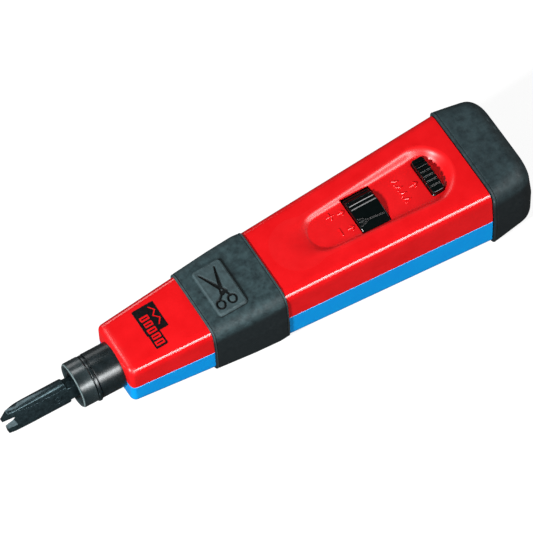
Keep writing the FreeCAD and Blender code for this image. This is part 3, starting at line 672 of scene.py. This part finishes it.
# ---- end cap ----
def make_cap():
    x0, x1 = CAP_X
    plan_round, side_round, lip_round, groove_depth = 6.4, 5.4, 0.4, 0.16
    front_fillet, tail_fillet, least_fillet = 4.4, 7.0, 2.5
    front_half_width = HALF_WIDTHS[2] + CAP_PROUD
    tail_lean = 1.1
    counts = (14, 18, 40)
    xs = spread((x0, x0 + 1.6, 0.1), (x0 + 1.6, x1 - plan_round, 0.7))
    xs += [x1 - plan_round * (1 - math.sin(a)) for a in np.linspace(0, math.pi / 2, 40)[1:]]
    rings = []
    for x in xs:
        share = min((x - x0) / (x1 - side_round - x0), 1.0)
        lip = edge_drop(lip_round, x - x0)
        lip += groove_depth * float(ramp(0.24 - abs(x - x0 - 0.9), 0, 0.2))
        half_width = front_half_width + (CAP_TAIL_HALF_WIDTH - front_half_width) * share
        half_width -= edge_drop(plan_round, x1 - x) + lip
        drop = edge_drop(side_round, x1 - x) + lip
        fillet = front_fillet + (tail_fillet - front_fillet) * share
        fillet = max(fillet - drop / 2, least_fillet)
        top = half_profile(half_width, TOP_HEIGHTS[2] + CAP_PROUD - drop, fillet, CROWN, counts)
        bottom = half_profile(half_width, BOTTOM_DEPTHS[2] + CAP_PROUD - drop, fillet, 0.0, counts)
        rings.append(np.concatenate([ring_at(x, top), ring_at(x, bottom, -1)[::-1][1:-1]]))
    for ring in rings:
        lean = ramp(ring[:, 0], x0 + 4, x1) * np.maximum(ring[:, 2], 0) / 15
        ring[:, 0] -= tail_lean * lean
    cap = loft("cap", rings)
    # painted shade: the cap darker towards its sides and bottom
    add_mask(cap, "shade", ramp(11.0 - coordinates(cap)[:, 2], 0, 3.0))
    tray_room = block((x0 - 2, 147.05), (-14.75, 14.75), (-11.35, 2.8))
    cut(cap, tray_room)
    finish_piece(cap, "tail_cap", "drawer", "cap_rubber", "end_cap", sharp=40)


make_cap()


# ---- badge ----
def crown_z(x, y, lift):
    """Height of the plain top surface near the nose."""
    half = at(HALF_WIDTHS, x)
    return at(TOP_HEIGHTS, x) - CROWN * (y / half)**2 * 1.02 + lift


def on_crown(outline, low, high):
    """Slab over an outline that follows the crown of the shell's top."""
    rings = [[(x, y, crown_z(x, y, lift)) for x, y in outline] for lift in (low, high)]
    return loft("slab", np.array(rings))


def stroke_outline(a, b, width):
    """Rounded bar from a to b."""
    angle = math.atan2(b[1] - a[1], b[0] - a[0])
    points = []
    for (cx, cy), start in ((b, angle - math.pi / 2), (a, angle + math.pi / 2)):
        points += [(cx + width / 2 * math.cos(start + math.pi * i / 8),
                    cy + width / 2 * math.sin(start + math.pi * i / 8)) for i in range(9)]
    return points


def make_badge():
    """Plain black label with a generic sign: a row of terminals and a zigzag wire."""
    through = (-0.3, 0.5)
    terminals, first_y, pitch, half_cell = 5, 3.9, 2.55, 0.95
    panel = on_crown(rounded_outline((11.6, 19.5), (-2.5, 8.2), 0.3), -0.05, 0.14)
    strip = on_crown(rounded_outline((11.9, 16.2), (-8.0, 5.6), 0.5), -0.06, 0.15)
    join(panel, strip)
    for i in range(terminals):
        y = first_y - i * pitch
        cell_x, cell_y = (12.4 + 0.25 * (i % 2), 15.7), (y - half_cell, y + half_cell)
        cell = on_crown(rounded_outline(cell_x, cell_y, 0.25), *through)
        slit = on_crown(stroke_outline((13.2, y), (15.0, y), 0.45), *through)
        cut(panel, cut(cell, slit))
    wire = [(17.2, 6.9), (18.5, 5.0), (17.0, 3.4), (18.6, 1.6), (17.2, -0.4)]
    for start, end in zip(wire, wire[1:]):
        cut(panel, on_crown(stroke_outline(start, end, 0.5), *through))
    finish_piece(panel, "badge_panel", "handle", "badge_print", "badge_label")


make_badge()


# ---- raised marks on the recess floor ----
def make_marks():
    z0, z1 = DISH_FLOOR_Z - 0.2, DISH_FLOOR_Z + 0.3
    width, bevelled_width = 0.62, 0.26
    levels = ((z0, width), (z1 - 0.2, width), (z1, bevelled_width))

    def bar(a, b):
        return loft("bar", np.array([[(x, y, z) for x, y in stroke_outline(a, b, w)] for z, w in levels]))

    marks = {
        "mark_more": [bar((83.0, 4.0), (85.6, 4.0)), bar((84.3, 2.7), (84.3, 5.3))],
        "mark_less": [bar((84.4, -4.3), (84.4, -1.6))],
        "mark_more_arrow": [bar((86.9, 3.4), (89.2, 3.4)), bar((88.3, 4.2), (89.2, 3.4)),
                            bar((88.3, 2.6), (89.2, 3.4))],
        "mark_less_arrow": [bar((86.9, -3.3), (89.2, -3.3)), bar((88.3, -2.5), (89.2, -3.3)),
                            bar((88.3, -4.1), (89.2, -3.3))],
        "mark_push_arrow": [bar((112.6, 0.0), (115.2, 0.0)), bar((114.2, 0.9), (115.2, 0.0)),
                            bar((114.2, -0.9), (115.2, 0.0))],
    }
    for i, y in enumerate((-3.9, -1.3, 1.3, 3.9)):
        marks[f"mark_push_{i + 1}"] = [bar((108.3, y + 0.8), (110.3, y)), bar((108.3, y - 0.8), (110.3, y))]
    for name, bars in marks.items():
        finish_piece(join(*bars) if len(bars) > 1 else bars[0], name, "handle", "red_shell")


make_marks()


# ---- selector wheel ----
def make_selector():
    x0, x1 = SELECTOR_X
    angles = np.linspace(math.radians(-68), math.radians(38), 420)
    edge_round, hollow = 0.5, 0.12
    rib_angles, rib_height, pointer_height = (6.5, 13.5, 20.5, 27.5), 0.34, 0.42
    across = spread((0, 0.6, 0.1), (0.6, x1 - x0 - 0.6, 0.16), (x1 - x0 - 0.6, x1 - x0, 0.1))
    inner_r = SELECTOR_R - SELECTOR_RIM
    pointer = (((91.5, -3.55), (99.8, -4.35)), ((91.3, -2.5), (94.6, -3.8)), ((91.3, -4.9), (94.6, -3.9)))
    rings = []
    for a in angles:
        y_arc = SELECTOR_R * a
        points = []
        for t in across:
            edge = min(t, x1 - x0 - t)
            inside = ramp(edge, 0.2, 0.7)
            r = SELECTOR_R - edge_drop(edge_round, edge) - hollow * (2 * t / (x1 - x0) - 1)**2
            for rib in rib_angles:
                from_rib = abs(y_arc - SELECTOR_R * math.radians(rib))
                r += rib_height * float(ramp(0.42 - from_rib, 0, 0.34)) * inside
            from_pointer = min(float(stroke_distance(x0 + t, y_arc, a, b)) for a, b in pointer)
            r += pointer_height * float(ramp(0.4 - from_pointer, 0, 0.34)) * inside
            points.append((x0 + t, r))
        points += [(x1, inner_r), (x0, inner_r)]
        rings.append([(x, r * math.sin(a), r * math.cos(a)) for x, r in points])
    rim = loft("rim", np.array(rings))
    join(rim, common(cad_copy("selector_wheel"), rod(inner_r + 0.3, 80, 110)))
    finish_piece(rim, "selector_rim", "selector", "control_black", "selector_wheel")


make_selector()


# ---- release button ----
def make_button():
    x0, x1 = BUTTON_X
    middle, half_x = (x0 + x1) / 2, (x1 - x0) / 2
    bottom, corner, end_round, top_round = 12.0, 1.0, 0.45, 0.55
    rib_pitch, groove_depth, groove_inset = 2.0, 0.5, 0.12
    rings = []
    for y in spread((-BUTTON_HALF_Y, BUTTON_HALF_Y, 0.09)):
        from_end = BUTTON_HALF_Y - abs(y)
        half = half_x - edge_drop(corner, from_end)
        z = BUTTON_END_Z + (BUTTON_TOP_Z - BUTTON_END_Z) * (1 - (y / BUTTON_HALF_Y)**2)
        z -= edge_drop(end_round, from_end)
        wave = abs(((y / rib_pitch + 0.5) % 1.0) - 0.5) * 2.0
        groove = float(ramp(wave, 0.5, 0.78)) * float(ramp(from_end, 1.3, 1.7))
        z -= groove_depth * groove
        half -= groove_inset * groove
        ring = [(middle - half, bottom)]
        ring += rounded_top(middle - half, middle + half, z, top_round, 8)
        ring += [(middle + half, bottom)]
        rings.append([(x, y, z) for x, z in ring])
    button = loft("button", np.array(rings))
    lower = common(cad_copy("release_button"), block((110, 130), (-12, 12), (-5, 12.3)))
    join(button, lower)
    finish_piece(button, "release_button_cap", "button", "control_black", "release_button")


make_button()


# ---- nose ----
def make_collar():
    front, rear, bore, flange_r = -15.8, 9.0, 6.65, 8.6
    groove_x, groove_r, groove_edge_r = (-10.4, -8.8), COLLAR_R - 0.7, COLLAR_R - 0.12
    flange_x = (3.1, 4.9)
    mouth = [(front, bore + 0.35), (front, COLLAR_R - 0.55), (front + 0.1, COLLAR_R - 0.4),
             (front + 0.45, COLLAR_R - 0.06), (front + 0.7, COLLAR_R)]
    groove = [(groove_x[0] - 0.15, COLLAR_R), (groove_x[0], groove_edge_r), (groove_x[0], groove_r),
              (groove_x[1], groove_r), (groove_x[1], groove_edge_r), (groove_x[1] + 0.15, COLLAR_R)]
    flange = [(flange_x[0], COLLAR_R), (flange_x[0], flange_r), (flange_x[1], flange_r),
              (flange_x[1], COLLAR_R)]
    profile = mouth + groove + flange + [(rear, COLLAR_R), (rear, bore), (front + 0.5, bore)]
    collar = lathe("collar", profile, full_turn(144))
    x, y, z = coordinates(collar).T
    from_rim = np.abs(x - front - 0.1) + np.abs(np.hypot(y, z) - COLLAR_R + 0.42)
    # painted highlight: a pale line round the chamfer of the mouth
    add_mask(collar, "pale", np.where(from_rim < 0.2, 0.9, 0.0))
    finish_piece(collar, "nose_sleeve", "handle", "collar_black", "nose_collar", sharp=28)


def make_ring():
    inner, outer, x0, x1, corner = COLLAR_R - 0.35, COLLAR_R + 0.16, -10.15, -9.05, 0.22
    profile = [(x1, inner), (x0, inner)] + rounded_top(x0, x1, outer, corner, 7)
    gap = math.asin(0.6 / COLLAR_R)
    angles = np.linspace(-math.pi + gap, math.pi - gap, 145)
    ring = lathe("ring", profile, angles, closed=False)
    sag = Matrix.Translation((0, -0.2, -0.26))
    ring.data.transform(sag)
    finish_piece(ring, "nose_split_ring", "handle", "collar_black", "collar_retaining_ring")


make_collar()
make_ring()


# ---- blade ----
def on_flat(obj):
    """Turns a shape drawn over +Z to the blade's milled flat."""
    obj.data.transform(Matrix.Rotation(math.radians(68), 4, "X"))
    return obj


def make_blade():
    stamp_x, outer_r, inner_r, dot_r = -22.4, 1.4, 1.1, 0.45
    stamped_z = (2.72, 3.2)
    blade = cad_copy("blade")
    stamp = cut(upright(outer_r, stamp_x, 0, *stamped_z), upright(inner_r, stamp_x, 0, 2.0, 4.0))
    cut(blade, on_flat(stamp), on_flat(upright(dot_r, stamp_x, 0, *stamped_z)))
    bevel = blade.modifiers.new("broken_edges", "BEVEL")
    bevel.width, bevel.segments = 0.14, 2
    bevel.limit_method, bevel.angle_limit = "ANGLE", math.radians(32)
    take_modifiers(blade)
    finish_piece(blade, "forked_blade", "blade", "blade_steel", "blade", sharp=20)


make_blade()


# ---- floor, light and camera ----
def make_floor():
    half = 1.2
    mesh = bpy.data.meshes.new("floor")
    mesh.from_pydata([(-half, -half, 0), (half, -half, 0), (half, half, 0), (-half, half, 0)], [],
                     [(0, 1, 2, 3)])
    floor = bpy.data.objects.new("floor", mesh)
    bpy.context.scene.collection.objects.link(floor)
    paper = material("pale_floor", (0.24, 0.24, 0.24, 1), (0.26, 0.26, 0.26, 1), (0.7, 0.8),
                     [(200, 0.01)], mottle=20, specular=0.0)
    shader = paper.node_tree.nodes["Principled BSDF"]
    shader.inputs["Emission Color"].default_value = (1.0, 1.0, 1.0, 1.0)
    shader.inputs["Emission Strength"].default_value = 0.86
    mesh.materials.append(paper)
    floor.visible_diffuse = floor.visible_glossy = False


def area_light(name, direction, distance, size, power, target=(0.0, 0.0, 0.015), card=False):
    """A card lights reflections only."""
    data = bpy.data.lights.new(name, "AREA")
    data.shape = "RECTANGLE"
    data.size, data.size_y = size
    data.energy = power
    light = bpy.data.objects.new(name, data)
    bpy.context.scene.collection.objects.link(light)
    away = Vector(direction).normalized()
    light.location = Vector(target) + away * distance
    light.rotation_mode = "QUATERNION"
    light.rotation_quaternion = away.to_track_quat("Z", "Y")
    light.visible_camera = False
    light.visible_diffuse = not card


def make_camera():
    """The photograph's viewing angle: a long lens 1.5 m from the tool, lengths in millimetres."""
    turn, rise, roll = math.radians(26.16), math.radians(59.40), math.radians(-5.18)
    lens, sensor, distance = 308.911, 36.0, 1500.0
    aim, left, below = Vector((70, 0, 0)), 10.96, 0.61
    right = Vector((math.cos(turn), -math.sin(turn), 0))
    ahead = Vector((math.sin(turn), math.cos(turn), 0))
    up = ahead * math.sin(rise) + Vector((0, 0, math.cos(rise)))
    back = -ahead * math.cos(rise) + Vector((0, 0, math.sin(rise)))
    right, up = (right * math.cos(roll) + up * math.sin(roll),
                 up * math.cos(roll) - right * math.sin(roll))
    place = aim - right * left - up * below + back * distance
    data = bpy.data.cameras.new("camera")
    data.sensor_width = sensor
    data.lens = lens
    camera = bpy.data.objects.new("camera", data)
    bpy.context.scene.collection.objects.link(camera)
    rotation = Matrix((right, up, back)).transposed().to_4x4()
    camera.matrix_world = Matrix.Translation((place + Vector(SHIFT)) * MM) @ rotation
    bpy.context.scene.camera = camera


def make_world():
    world = bpy.data.worlds.new("studio")
    world.use_nodes = True
    background = world.node_tree.nodes["Background"]
    background.inputs["Color"].default_value = (1.0, 1.0, 1.0, 1.0)
    background.inputs["Strength"].default_value = 0.08
    bpy.context.scene.world = world


make_floor()
make_camera()
area_light("key_light", (-0.8, -0.25, 0.52), 2.0, (0.25, 0.25), 50.0)
area_light("front_fill", (0.15, -0.86, 0.46), 1.4, (0.6, 0.6), 8.0)
area_light("tail_fill", (0.93, 0.1, 0.35), 1.2, (0.5, 0.5), 2.5)
area_light("back_fill", (-0.1, 0.95, 0.3), 1.6, (0.8, 0.6), 5.0)
area_light("front_card", (0.224, -0.78, 0.58), 1.2, (1.6, 0.34), 27.0, card=True)
above_blade = (np.array([-20.0, 0.0, 8.0]) + SHIFT) * MM
area_light("nose_card", (0.0, 0.49, 0.87), 0.046, (0.034, 0.012), 0.013, above_blade, card=True)
make_world()
bpy.context.scene.view_settings.view_transform = "Standard"
